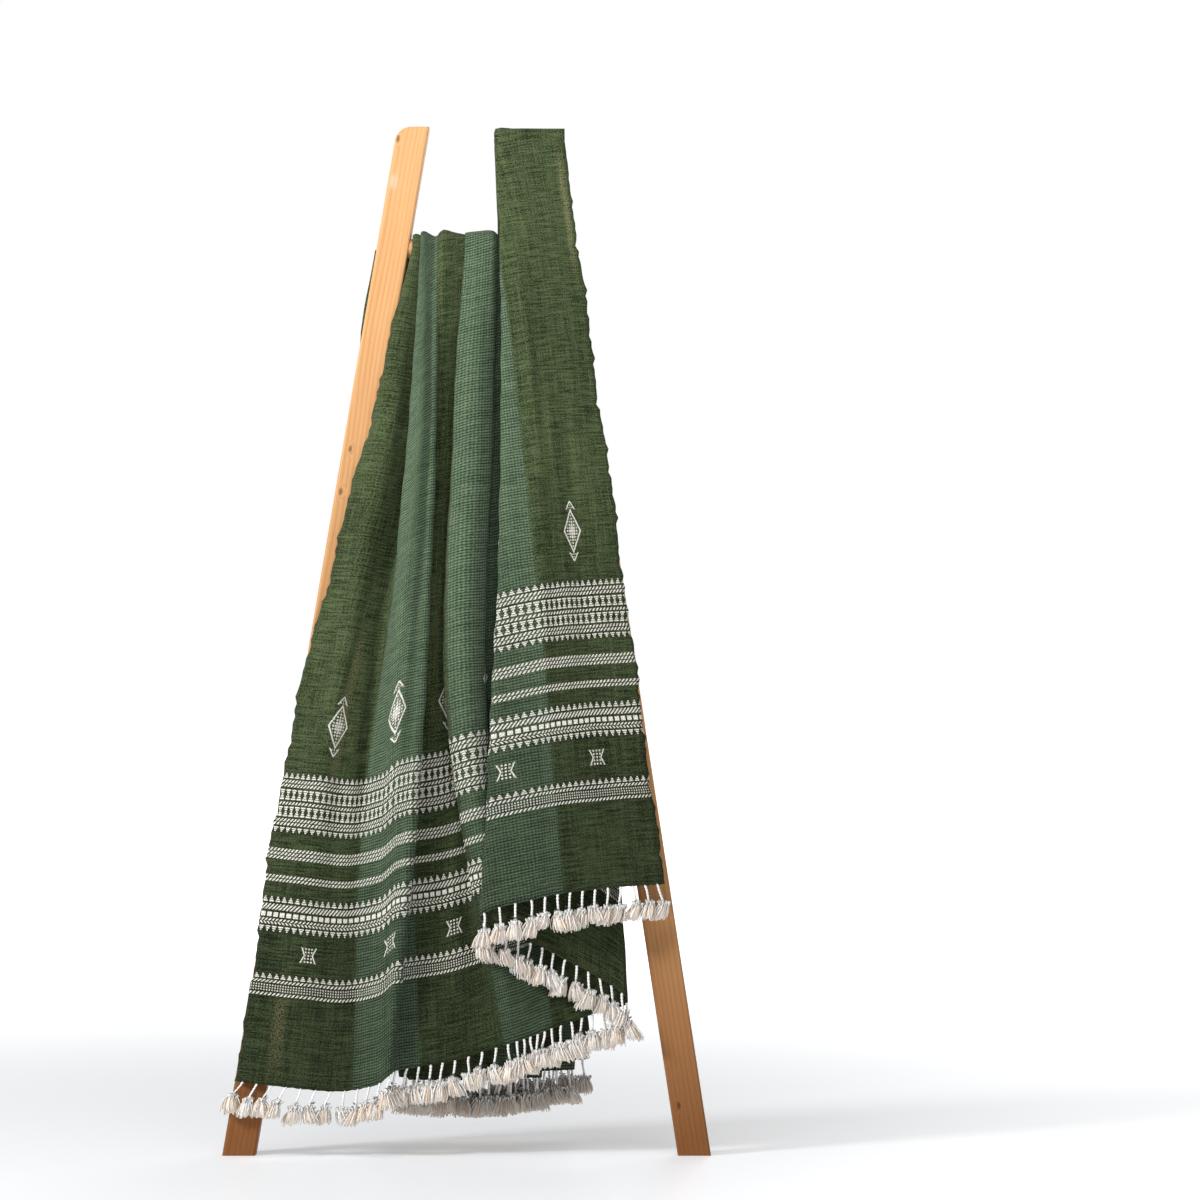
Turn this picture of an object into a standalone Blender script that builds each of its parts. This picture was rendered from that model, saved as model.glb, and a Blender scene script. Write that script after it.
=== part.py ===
"""A handwoven wool throw with tasselled ends, hanging over a small pine ladder.

Metres, +Z up, X to the right and Y away from the front. Heights in the tables are counted
from the floor; PLACE then moves everything so that the rest on the wall is the origin.
"""
import math

import bmesh
import bpy
from mathutils import Matrix, Vector

MM = 0.001

# Ladder
LEAN = math.radians(9.0)
RAIL_WIDTH = 0.040
RAIL_DEPTH = 0.026
RAIL_EASED_EDGE = 0.0025
HEAD_CORNER = 0.017
FOOT_SPREAD = 0.280
LEFT_HEAD_X = -0.0734
RIGHT_HEAD_X = 0.0855
LEFT_HEAD_HEIGHT = 1.283
RIGHT_HEAD_HEIGHT = 1.277
RUNG_RADIUS = 0.0125
RUNG_SIDES = 20
RUNG_PITCH = 0.265
RUNG_COUNT = 4
TOP_RUNG_HEIGHT = 1.128
FIT = 0.0003

# The upright plane of the wall, and how far the right head is planed back from it
WALL_Y = 0.2135
RIGHT_HEAD_PLANED = 0.0061
MOUNT_HEIGHT = 1.2735

# Throw
THICKNESS = 0.0015
BEND_STEPS = 6
SPREAD_START = math.radians(150.0)
FRONT_STEPS = 18
BACK_STEPS = 16
STEPS_BETWEEN_FOLDS = 3

# How far down the front, and down the back, each column of the fold tables is read
FRONT_LEVELS = (0.0, 0.2, 0.6, 1.0)
BACK_LEVELS = (0.0, 0.12, 0.45, 1.0)

# One row for each fold line of the front, from the left selvedge to the right, in mm:
# its place across the flat cloth, its x and how far it stands out from the ladder's plane,
# each at the four front levels, then the heights of the bend's middle and of the hem.
FRONT_FOLDS = (
    # fold, cloth across, x, out, bend height, hem height
    ("left selvedge", (0, 0, 0, 0), (-73, -122, -223, -283), (17, 19, 20, 19), 1128, 91),
    ("first crown", (15, 18, 55, 62), (-69, -109, -174, -216), (19, 26, 34, 36), 1128, 85),
    ("lit slope", (25, 27, 92, 105), (-63, -96, -146, -168), (17, 24, 29, 31), 1128, 80),
    ("dark tuck", (74, 76, 123, 129), (-50, -64, -126, -141), (15.5, 17, 24, 28), 1128, 81),
    ("ridge side", (130, 130, 158, 150), (-62, -75, -104, -123), (20, 34, 34, 34), 1128, 85),
    ("long ridge", (172, 172, 185, 168), (-58, -61, -84, -107), (22, 42, 50, 43), 1128, 90),
    ("ridge edge", (232, 229, 227, 185), (-44, -46, -59, -93), (15.5, 38, 52, 50), 1128, 102),
    ("recess", (246, 246, 252, 207), (-35, -38, -55, -83), (24, 27, 26, 34), 1128, 106),
    ("olive panel", (265, 265, 273, 277), (-20, -27, -38, -20), (20.5, 23, 22, 32), 1128, 116),
    ("second tuck", (302, 305, 310, 314), (6, -2, -8, 18), (15.5, 17, 18, 29), 1128, 127),
    ("step edge", (339, 339, 334, 341), (-8, -18, -25, 47), (19.5, 32, 36, 33), 1128, 136),
    ("blue ridge", (357, 361, 358, 363), (8, 6, -1, 62), (22, 42, 50, 36), 1128, 141),
    ("ridge fall", (376, 384, 383, 394), (27, 28, 22, 78), (23, 33, 36, 33), 1128, 146),
    ("dark gap", (419, 431, 431, 447), (38, 46, 40, 106), (16, 17, 17, 28), 1128, 156),
    ("hidden swell", (505, 499, 499, 505), (54, 86, 102, 152), (16, 20, 20, 24), 1135, 172),
    ("right turn", (616, 591, 579, 564), (73, 128, 174, 197), (20, 27, 29, 32), 1165, 193),
    ("under panel", (751, 720, 690, 671), (58, 88, 108, 105), (20, 34, 37, 41), 1215, 249),
    ("front edge", (909, 862, 823, 774), (30, 40, 36, 16), (14, 40, 47, 50), 1265, 291),
    ("front panel", (933, 903, 874, 837), (57, 73, 91, 88), (16, 48, 55, 57), 1266, 316),
    ("front swell", (967, 951, 938, 921), (88, 110, 139, 168), (16, 44, 48, 53), 1266, 328),
    ("right selvedge", (1000, 1000, 1000, 1000), (119, 143, 194, 243), (16, 38, 40, 44), 1266, 333),
)

# The same fold lines behind the ladder: place across the flat cloth at the three back levels
# below the bend, x and distance off the wall at all four, then the height of the back hem.
BACK_FOLDS = (
    # cloth across, x, off the wall, hem height
    ((0, 0, 0), (-122, -141, -148, -88), (15, 35, 74, 94), 84),
    ((22, 30, 50), (-100, -114, -98, -40), (15, 35, 72, 92), 82),
    ((40, 75, 105), (-78, -84, -34, 12), (15.5, 34, 68, 87), 80),
    ((95, 135, 162), (-52, -26, 32, 58), (17.3, 31, 60, 80), 79),
    ((130, 180, 205), (-64, -58, -14, 14), (12.5, 27, 54, 74), 78),
    ((165, 215, 255), (-60, -84, -54, -36), (11.8, 24.5, 50, 70), 78),
    ((225, 255, 307), (-46, -92, -80, -78), (13.3, 21.5, 44, 64), 78),
    ((258, 300, 355), (-36, -50, -30, -24), (12.3, 20, 39, 58), 78),
    ((290, 350, 415), (-20, -6, 28, 38), (12.8, 19, 35, 54), 79),
    ((335, 410, 468), (6, 36, 84, 92), (14.8, 18, 30, 48), 79),
    ((365, 455, 520), (-8, 6, 36, 46), (10.3, 15, 26, 43), 80),
    ((390, 495, 565), (7, -14, -8, 0), (8.8, 13.5, 24, 39), 81),
    ((415, 530, 613), (25, -26, -36, -44), (8.4, 12, 21, 35), 82),
    ((470, 580, 668), (38, 24, 22, 12), (8.2, 11, 19, 31), 83),
    ((545, 640, 728), (56, 66, 74, 74), (8, 10, 18, 28), 85),
    ((640, 700, 790), (76, 92, 112, 132), (7.5, 8.5, 14, 24), 87),
    ((765, 770, 832), (58, 66, 64, 84), (6, 6, 9, 19), 89),
    ((900, 845, 870), (30, 34, 24, 30), (3, 4, 6, 14), 91),
    ((930, 890, 915), (57, 62, 60, 72), (2, 2, 3, 11), 93),
    ((965, 945, 958), (88, 94, 94, 112), (2, 2, 3, 12), 96),
    ((1000, 1000, 1000), (119, 124, 130, 150), (2, 2, 3, 10), 99),
)

# Fringe
STRAND_COUNT = 62
STRAND_PITCH = 0.0161
STRAND_MARGIN = 0.009
HEADING_GAP = 0.0007
HEADING_DROP = 0.003
HEADING_THICKNESS = 0.002
HEM_LOOK = 0.0005
CORD_WIDTH = 0.0034
CORD_LENGTH = 0.018
TASSEL_WIDTH = 0.0145
TASSEL_SHOULDER = 0.007
TASSEL_LENGTH = 0.024
TASSEL_TIP = 0.75
FRONT_FRINGES = (
    # node, first strand, strands
    ("fringe_front_left", 0, 34),
    ("fringe_front_fold", 35, 12),
    ("fringe_front_right", 49, 13),
)
BACK_FRINGES = (
    ("fringe_back_1", 0, 9),
    ("fringe_back_2", 10, 8),
    ("fringe_back_3", 19, 9),
    ("fringe_back_4", 29, 8),
    ("fringe_back_5", 38, 10),
    ("fringe_back_6", 49, 4),
    ("fringe_back_7", 54, 8),
)

PLACE = Vector((-LEFT_HEAD_X, -WALL_Y, -MOUNT_HEIGHT))


def clear_scene():
    for item in list(bpy.data.objects):
        bpy.data.objects.remove(item, do_unlink=True)


def finish(name, colour, roughness):
    material = bpy.data.materials.new(name)
    material.use_nodes = True
    shader = material.node_tree.nodes["Principled BSDF"]
    shader.inputs["Base Color"].default_value = (*colour, 1.0)
    shader.inputs["Roughness"].default_value = roughness
    shader.inputs["Metallic"].default_value = 0.0
    return material


def add_piece(name, shape, colour, roughness, sharp_angle=35.0):
    bmesh.ops.recalc_face_normals(shape, faces=shape.faces)
    if shape.calc_volume(signed=True) < 0.0:
        bmesh.ops.reverse_faces(shape, faces=shape.faces)
    mesh = bpy.data.meshes.new(name)
    shape.to_mesh(mesh)
    shape.free()
    mesh.shade_smooth()
    mesh.set_sharp_from_angle(angle=math.radians(sharp_angle))
    mesh.materials.append(finish(name, colour, roughness))
    piece = bpy.data.objects.new(name, mesh)
    piece.location = PLACE
    bpy.context.collection.objects.link(piece)
    return piece


def cut_level(shape, point, outward):
    """Remove what lies beyond a plane and close the cut with one flat face."""
    everything = shape.verts[:] + shape.edges[:] + shape.faces[:]
    cut = bmesh.ops.bisect_plane(
        shape, geom=everything, plane_co=point, plane_no=outward, clear_outer=True)
    rim = [item for item in cut["geom_cut"] if isinstance(item, bmesh.types.BMEdge)]
    bmesh.ops.contextual_create(shape, geom=rim)


def up_the_slope(height):
    return height / math.cos(LEAN)


class Rail:
    """One rail of the ladder, laid out in the ladder's own plane before it leans."""

    def __init__(self, foot_x, head_x, head_height):
        self.foot_x = foot_x
        self.head_x = head_x
        self.length = up_the_slope(head_height)
        self.slope = (head_x - foot_x) / self.length
        self.half_width = 0.5 * RAIL_WIDTH * math.hypot(1.0, self.slope)

    def middle(self, along):
        return self.foot_x + self.slope * along

    def inner_face(self, along):
        inward = 1.0 if self.foot_x < 0.0 else -1.0
        return self.middle(along) + inward * self.half_width


LEFT_RAIL = Rail(-FOOT_SPREAD, LEFT_HEAD_X, LEFT_HEAD_HEIGHT)
RIGHT_RAIL = Rail(FOOT_SPREAD, RIGHT_HEAD_X, RIGHT_HEAD_HEIGHT)


def make_rail(name, rail, planed_y, colour):
    """A board with its outer top corner rounded, its foot cut level and its head planed upright."""
    shape = bmesh.new()
    below_floor = -0.5 * RAIL_WIDTH
    corners = []
    for along, side in ((below_floor, -1), (below_floor, 1), (rail.length, 1), (rail.length, -1)):
        x = rail.middle(along) + side * rail.half_width
        corners.append(shape.verts.new((x, -0.5 * RAIL_DEPTH, along)))
    front = shape.faces.new(corners)
    back = bmesh.ops.extrude_face_region(shape, geom=[front])["geom"]
    back_corners = [item for item in back if isinstance(item, bmesh.types.BMVert)]
    bmesh.ops.translate(shape, verts=back_corners, vec=(0.0, RAIL_DEPTH, 0.0))

    outward = -1.0 if rail.foot_x < 0.0 else 1.0
    outer_x = rail.middle(rail.length) + outward * rail.half_width
    outer_corner = [
        edge for edge in shape.edges
        if all(abs(end.co.x - outer_x) < MM and abs(end.co.z - rail.length) < MM for end in edge.verts)]
    bmesh.ops.bevel(
        shape, geom=outer_corner, offset=HEAD_CORNER, segments=5,
        profile=0.5, affect="EDGES", material=-1)

    bmesh.ops.recalc_face_normals(shape, faces=shape.faces)
    rims = [
        edge for edge in shape.edges
        if abs(edge.verts[0].co.y - edge.verts[1].co.y) < MM and edge.calc_face_angle() > 1.0]
    bmesh.ops.bevel(
        shape, geom=rims, offset=RAIL_EASED_EDGE, segments=2,
        profile=0.5, affect="EDGES", material=-1)

    bmesh.ops.rotate(
        shape, verts=shape.verts, cent=(0.0, 0.0, 0.0), matrix=Matrix.Rotation(-LEAN, 3, "X"))
    cut_level(shape, (0.0, 0.0, 0.0), (0.0, 0.0, -1.0))
    cut_level(shape, (0.0, planed_y, 0.0), (0.0, 1.0, 0.0))
    return add_piece(name, shape, colour, 0.55)


def make_rung(name, along, colour):
    """A round rung whose ends follow the slanting inner faces of the rails."""
    shape = bmesh.new()
    bmesh.ops.create_cone(
        shape, cap_ends=True, cap_tris=False, segments=RUNG_SIDES,
        radius1=RUNG_RADIUS, radius2=RUNG_RADIUS, depth=1.0)
    bmesh.ops.rotate(
        shape, verts=shape.verts, cent=(0.0, 0.0, 0.0),
        matrix=Matrix.Rotation(math.radians(90.0), 3, "Y"))
    for corner in shape.verts:
        height = along + corner.co.z
        if corner.co.x < 0.0:
            corner.co.x = LEFT_RAIL.inner_face(height) + FIT
        else:
            corner.co.x = RIGHT_RAIL.inner_face(height) - FIT
    bmesh.ops.translate(shape, verts=shape.verts, vec=(0.0, 0.0, along))
    bmesh.ops.rotate(
        shape, verts=shape.verts, cent=(0.0, 0.0, 0.0), matrix=Matrix.Rotation(-LEAN, 3, "X"))
    return add_piece(name, shape, colour, 0.5)


def smooth_between(levels, values, at):
    """A smooth curve through a few values at uneven levels."""
    last = len(levels) - 1
    index = 0
    while index < last - 1 and at > levels[index + 1]:
        index += 1

    def slope(place):
        low = max(place - 1, 0)
        high = min(place + 1, last)
        return (values[high] - values[low]) / (levels[high] - levels[low])

    span = levels[index + 1] - levels[index]
    t = (at - levels[index]) / span
    start = values[index]
    end = values[index + 1]
    leaving = slope(index) * span
    arriving = slope(index + 1) * span
    return (
        start * (1.0 - t) ** 2 * (1.0 + 2.0 * t) + leaving * t * (1.0 - t) ** 2
        + end * t ** 2 * (3.0 - 2.0 * t) - arriving * t ** 2 * (1.0 - t))


def smooth_across(points, at):
    """A smooth curve through the fold lines of one row, at a place counted in fold lines."""
    index = min(int(at), len(points) - 2)
    t = at - index
    before = points[max(index - 1, 0)]
    start = points[index]
    end = points[index + 1]
    after = points[min(index + 2, len(points) - 1)]
    return 0.5 * (
        2.0 * start + (end - before) * t
        + (2.0 * before - 5.0 * start + 4.0 * end - after) * t ** 2
        + (3.0 * start - before - 3.0 * end + after) * t ** 3)


def plane_y(height):
    """The middle plane of the leaning ladder."""
    return height * math.tan(LEAN)


def front_row(down):
    """The fold lines of the front at a share of the way from the bend down to the hem."""
    row = []
    for _, _, x, out, bend_height, hem_height in FRONT_FOLDS:
        height = (bend_height + (hem_height - bend_height) * down) * MM
        stands_out = smooth_between(FRONT_LEVELS, out, down) * MM
        row.append(Vector((
            smooth_between(FRONT_LEVELS, x, down) * MM, plane_y(height) - stands_out, height)))
    return row


def bend_row(angle):
    """The fold lines over the rung and over the right head, from front (0) to back (pi).

    Behind the ladder the cloth spreads sideways, once it is past the backs of the rails.
    """
    spread = max(angle - SPREAD_START, 0.0) / (math.pi - SPREAD_START)
    row = []
    for (_, _, x, out, bend_height, _), (_, back_x, off_wall, _) in zip(FRONT_FOLDS, BACK_FOLDS):
        middle = bend_height * MM
        rise = out[0] * MM
        behind = WALL_Y - plane_y(middle) - off_wall[0] * MM
        on_head = (middle - TOP_RUNG_HEIGHT) / (RIGHT_HEAD_HEIGHT - TOP_RUNG_HEIGHT)
        power = 2.0 / (2.0 + on_head)
        across = math.copysign(abs(math.cos(angle)) ** power, math.cos(angle))
        reach = rise if across > 0.0 else behind
        up = abs(math.sin(angle)) ** power
        sideways = x[0] + (back_x[0] - x[0]) * spread ** 2 * (3.0 - 2.0 * spread)
        row.append(Vector((sideways * MM, plane_y(middle) - reach * across, middle + rise * up)))
    return row


def back_row(down):
    """The fold lines of the back at a share of the way from the bend down to the hem."""
    row = []
    for front, back in zip(FRONT_FOLDS, BACK_FOLDS):
        bend_height = front[4]
        _, x, off_wall, hem_height = back
        height = (bend_height + (hem_height - bend_height) * down) * MM
        row.append(Vector((
            smooth_between(BACK_LEVELS, x, down) * MM,
            WALL_Y - smooth_between(BACK_LEVELS, off_wall, down) * MM, height)))
    return row


def throw_rows():
    """Rows of points from the front hem, over the ladder, to the back hem."""
    fold_rows = [front_row(1.0 - step / FRONT_STEPS) for step in range(FRONT_STEPS)]
    fold_rows += [bend_row(math.pi * step / BEND_STEPS) for step in range(BEND_STEPS + 1)]
    fold_rows += [back_row((step + 1) / BACK_STEPS) for step in range(BACK_STEPS)]
    columns = (len(FRONT_FOLDS) - 1) * STEPS_BETWEEN_FOLDS
    return [
        [smooth_across(row, column / STEPS_BETWEEN_FOLDS) for column in range(columns + 1)]
        for row in fold_rows]


def make_throw(rows):
    shape = bmesh.new()
    grid = [[shape.verts.new(point) for point in row] for row in rows]
    for lower, upper in zip(grid, grid[1:]):
        for column in range(len(lower) - 1):
            shape.faces.new((lower[column], lower[column + 1], upper[column + 1], upper[column]))
    throw = add_piece("throw", shape, (0.055, 0.095, 0.052), 0.95, sharp_angle=80.0)
    solid = throw.modifiers.new("thickness", "SOLIDIFY")
    solid.thickness = THICKNESS
    solid.offset = 0.0
    return throw


class Hem:
    """One end of the throw, measured across the flat cloth."""

    def __init__(self, edge, above, folds):
        self.edge = edge
        self.above = above
        self.places = []
        for fold in range(len(folds) - 1):
            for step in range(STEPS_BETWEEN_FOLDS):
                share = step / STEPS_BETWEEN_FOLDS
                self.places.append((folds[fold] + (folds[fold + 1] - folds[fold]) * share) * MM)
        self.places.append(folds[-1] * MM)

    def along(self, row, distance):
        left = 0
        while left < len(self.places) - 2 and distance > self.places[left + 1]:
            left += 1
        span = self.places[left + 1] - self.places[left]
        return row[left].lerp(row[left + 1], (distance - self.places[left]) / span)

    def point(self, distance):
        return self.along(self.edge, distance)

    def down(self, distance):
        return (self.point(distance) - self.along(self.above, distance)).normalized()

    def section(self, shape, distance):
        """Four corners of the heading just below the hem."""
        down = self.down(distance)
        across = self.point(distance + HEM_LOOK) - self.point(distance - HEM_LOOK)
        thick = across.cross(down).normalized() * 0.5 * HEADING_THICKNESS
        top = self.point(distance) + down * HEADING_GAP
        bottom = top + down * HEADING_DROP
        ring = (top - thick, top + thick, bottom + thick, bottom - thick)
        return [shape.verts.new(corner) for corner in ring]


def strand_place(number):
    return STRAND_MARGIN + number * STRAND_PITCH


def tassel_width(hem, number):
    """A tassel is as wide as its nearest neighbour leaves room for."""
    middles = []
    for strand in range(STRAND_COUNT):
        place = strand_place(strand)
        middles.append(hem.point(place) + hem.down(place) * (CORD_LENGTH + 0.5 * TASSEL_LENGTH))
    here = middles.pop(number)
    level = [there for there in middles if abs(there.z - here.z) < 1.5 * TASSEL_LENGTH]
    nearest = min((there.xy - here.xy).length for there in level)
    return max(min(TASSEL_WIDTH, nearest - MM), CORD_WIDTH)


def square_up(face, middle, width):
    """Move the four corners of a strand's end to a level square about its middle."""
    centre = face.calc_center_median()
    corners = sorted(
        face.verts, key=lambda corner: math.atan2(corner.co.y - centre.y, corner.co.x - centre.x))
    for quarter, corner in enumerate(corners):
        angle = math.radians(90.0 * quarter - 135.0)
        corner.co = middle + Vector((math.cos(angle), math.sin(angle), 0.0)) * 0.5 * width


def make_fringe(name, hem, first, count, colour):
    """A narrow heading under the hem, with a cord and a tassel drawn down from it at each strand."""
    shape = bmesh.new()
    sections = []
    roots = []
    for strand in range(first, first + count):
        left = strand_place(strand) - 0.5 * CORD_WIDTH
        right = left + CORD_WIDTH
        following = left + STRAND_PITCH
        roots.append(len(sections))
        sections += [hem.section(shape, left), hem.section(shape, right)]
        if strand < first + count - 1:
            between = [place for place in hem.places if right + HEM_LOOK < place < following - HEM_LOOK]
            sections += [hem.section(shape, place) for place in between]
    undersides = []
    for place, (left, right) in enumerate(zip(sections, sections[1:])):
        for corner in range(4):
            following = (corner + 1) % 4
            face = shape.faces.new((left[corner], left[following], right[following], right[corner]))
            if corner == 2 and place in roots:
                undersides.append(face)
    shape.faces.new(sections[0])
    shape.faces.new(sections[-1])
    bmesh.ops.recalc_face_normals(shape, faces=shape.faces)

    for offset, face in enumerate(undersides):
        root = face.calc_center_median()
        down = hem.down(strand_place(first + offset))
        width = tassel_width(hem, first + offset)
        stages = (
            (CORD_LENGTH, CORD_WIDTH),
            (CORD_LENGTH + TASSEL_SHOULDER, width),
            (CORD_LENGTH + TASSEL_LENGTH, width * TASSEL_TIP),
        )
        for drop, stage_width in stages:
            face = bmesh.ops.extrude_discrete_faces(shape, faces=[face])["faces"][0]
            square_up(face, root + down * drop, stage_width)
    return add_piece(name, shape, colour, 0.95, sharp_angle=60.0)


def build():
    clear_scene()
    pine = (0.62, 0.36, 0.17)
    make_rail("rail_left", LEFT_RAIL, WALL_Y, pine)
    make_rail("rail_right", RIGHT_RAIL, WALL_Y - RIGHT_HEAD_PLANED, pine)
    top_rung = up_the_slope(TOP_RUNG_HEIGHT)
    for rung in range(RUNG_COUNT):
        make_rung(f"rung_{rung + 1}", top_rung - rung * RUNG_PITCH, pine)

    rows = throw_rows()
    make_throw(rows)

    wool = (0.80, 0.77, 0.69)
    front_hem = Hem(rows[0], rows[1], [fold[1][-1] for fold in FRONT_FOLDS])
    back_hem = Hem(rows[-1], rows[-2], [fold[0][-1] for fold in BACK_FOLDS])
    for name, first, count in FRONT_FRINGES:
        make_fringe(name, front_hem, first, count, wool)
    for name, first, count in BACK_FRINGES:
        make_fringe(name, back_hem, first, count, wool)


build()
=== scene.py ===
# %% [markdown]
# A handwoven wool throw with tasselled ends hangs over a small pine ladder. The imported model
# already holds the ladder's real boards and the cloth's draped solid. This lesson keeps the boards,
# gives them a pine finish, and replaces the cloth and its fringe with fine meshes that follow
# the same folds.

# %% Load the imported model
import math
import random

import bmesh
import bpy
import numpy as np
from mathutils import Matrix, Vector


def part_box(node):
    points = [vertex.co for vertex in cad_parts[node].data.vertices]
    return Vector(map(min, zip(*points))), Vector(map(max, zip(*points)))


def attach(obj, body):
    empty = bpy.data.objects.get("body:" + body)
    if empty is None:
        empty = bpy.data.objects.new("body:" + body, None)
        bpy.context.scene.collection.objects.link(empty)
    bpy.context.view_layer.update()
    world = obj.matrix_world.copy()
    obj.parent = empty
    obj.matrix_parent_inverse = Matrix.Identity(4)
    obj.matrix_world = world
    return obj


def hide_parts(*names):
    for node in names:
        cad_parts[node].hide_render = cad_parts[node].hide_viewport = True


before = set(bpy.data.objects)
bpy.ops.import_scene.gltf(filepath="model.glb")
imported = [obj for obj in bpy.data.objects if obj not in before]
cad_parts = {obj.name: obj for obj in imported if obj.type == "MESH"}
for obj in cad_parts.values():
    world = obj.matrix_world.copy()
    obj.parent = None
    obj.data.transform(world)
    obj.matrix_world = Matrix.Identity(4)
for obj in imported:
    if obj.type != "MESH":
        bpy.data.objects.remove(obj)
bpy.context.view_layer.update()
MM = 0.001

# %% [markdown]
# The fold tables below are the ones the solid was draped with. Each row is one fold line of the cloth,
# from the left selvedge to the right one, and its columns are read at a few levels down the
# front and down the back. Heights are counted from the floor, so one place vector moves
# everything to the frame, whose origin is where the left head rests on a wall.

# %% Shared sizes and fold tables
LEAN = math.radians(9.0)
WALL_Y = 0.2135
MOUNT_HEIGHT = 1.2735
LEFT_HEAD_X = -0.0734
RIGHT_HEAD_X = 0.0855
LEFT_HEAD_HEIGHT = 1.283
RIGHT_HEAD_HEIGHT = 1.277
FOOT_SPREAD = 0.280
TOP_RUNG_HEIGHT = 1.128
THICKNESS = 0.0015
SPREAD_START = math.radians(150.0)
CLOTH_WIDTH = 1.0
CLOTH_LENGTH = 2.15
FRONT_LEVELS = (0.0, 0.2, 0.6, 1.0)
BACK_LEVELS = (0.0, 0.12, 0.45, 1.0)
PLACE = np.array((-LEFT_HEAD_X, -WALL_Y, -MOUNT_HEIGHT))

FRONT_FOLDS = (
    # fold, cloth across, x, out, bend height, hem height
    ("left selvedge", (0, 0, 0, 0), (-73, -122, -223, -283), (17, 19, 20, 19), 1128, 91),
    ("first crown", (15, 18, 55, 62), (-69, -109, -174, -216), (19, 26, 34, 36), 1128, 85),
    ("lit slope", (25, 27, 92, 105), (-63, -96, -146, -168), (17, 24, 29, 31), 1128, 80),
    ("dark tuck", (74, 76, 123, 129), (-50, -64, -126, -141), (15.5, 17, 24, 28), 1128, 81),
    ("ridge side", (130, 130, 158, 150), (-62, -75, -104, -123), (20, 34, 34, 34), 1128, 85),
    ("long ridge", (172, 172, 185, 168), (-58, -61, -84, -107), (22, 42, 50, 43), 1128, 90),
    ("ridge edge", (232, 229, 227, 185), (-44, -46, -59, -93), (15.5, 38, 52, 50), 1128, 102),
    ("recess", (246, 246, 252, 207), (-35, -38, -55, -83), (24, 27, 26, 34), 1128, 106),
    ("olive panel", (265, 265, 273, 277), (-20, -27, -38, -20), (20.5, 23, 22, 32), 1128, 116),
    ("second tuck", (302, 305, 310, 314), (6, -2, -8, 18), (15.5, 17, 18, 29), 1128, 127),
    ("step edge", (339, 339, 334, 341), (-8, -18, -25, 47), (19.5, 32, 36, 33), 1128, 136),
    ("blue ridge", (357, 361, 358, 363), (8, 6, -1, 62), (22, 42, 50, 36), 1128, 141),
    ("ridge fall", (376, 384, 383, 394), (27, 28, 22, 78), (23, 33, 36, 33), 1128, 146),
    ("dark gap", (419, 431, 431, 447), (38, 46, 40, 106), (16, 17, 17, 28), 1128, 156),
    ("hidden swell", (505, 499, 499, 505), (54, 86, 102, 152), (16, 20, 20, 24), 1135, 172),
    ("right turn", (616, 591, 579, 564), (73, 128, 174, 197), (20, 27, 29, 32), 1165, 193),
    ("under panel", (751, 720, 690, 671), (58, 88, 108, 105), (20, 34, 37, 41), 1215, 249),
    ("front edge", (909, 862, 823, 774), (30, 40, 36, 16), (14, 40, 47, 50), 1265, 291),
    ("front panel", (933, 903, 874, 837), (57, 73, 91, 88), (16, 48, 55, 57), 1266, 316),
    ("front swell", (967, 951, 938, 921), (88, 110, 139, 168), (16, 44, 48, 53), 1266, 328),
    ("right selvedge", (1000, 1000, 1000, 1000), (119, 143, 194, 243), (16, 38, 40, 44), 1266, 333),
)
BACK_FOLDS = (
    # cloth across, x, off the wall, hem height
    ((0, 0, 0), (-122, -141, -148, -88), (15, 35, 74, 94), 84),
    ((22, 30, 50), (-100, -114, -98, -40), (15, 35, 72, 92), 82),
    ((40, 75, 105), (-78, -84, -34, 12), (15.5, 34, 68, 87), 80),
    ((95, 135, 162), (-52, -26, 32, 58), (17.3, 31, 60, 80), 79),
    ((130, 180, 205), (-64, -58, -14, 14), (12.5, 27, 54, 74), 78),
    ((165, 215, 255), (-60, -84, -54, -36), (11.8, 24.5, 50, 70), 78),
    ((225, 255, 307), (-46, -92, -80, -78), (13.3, 21.5, 44, 64), 78),
    ((258, 300, 355), (-36, -50, -30, -24), (12.3, 20, 39, 58), 78),
    ((290, 350, 415), (-20, -6, 28, 38), (12.8, 19, 35, 54), 79),
    ((335, 410, 468), (6, 36, 84, 92), (14.8, 18, 30, 48), 79),
    ((365, 455, 520), (-8, 6, 36, 46), (10.3, 15, 26, 43), 80),
    ((390, 495, 565), (7, -14, -8, 0), (8.8, 13.5, 24, 39), 81),
    ((415, 530, 613), (25, -26, -36, -44), (8.4, 12, 21, 35), 82),
    ((470, 580, 668), (38, 24, 22, 12), (8.2, 11, 19, 31), 83),
    ((545, 640, 728), (56, 66, 74, 74), (8, 10, 18, 28), 85),
    ((640, 700, 790), (76, 92, 112, 132), (7.5, 8.5, 14, 24), 87),
    ((765, 770, 832), (58, 66, 64, 84), (6, 6, 9, 19), 89),
    ((900, 845, 870), (30, 34, 24, 30), (3, 4, 6, 14), 91),
    ((930, 890, 915), (57, 62, 60, 72), (2, 2, 3, 11), 93),
    ((965, 945, 958), (88, 94, 94, 112), (2, 2, 3, 12), 96),
    ((1000, 1000, 1000), (119, 124, 130, 150), (2, 2, 3, 10), 99),
)


def columns_of(rows, column):
    return np.array([row[column] for row in rows], dtype=float).T * MM


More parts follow.
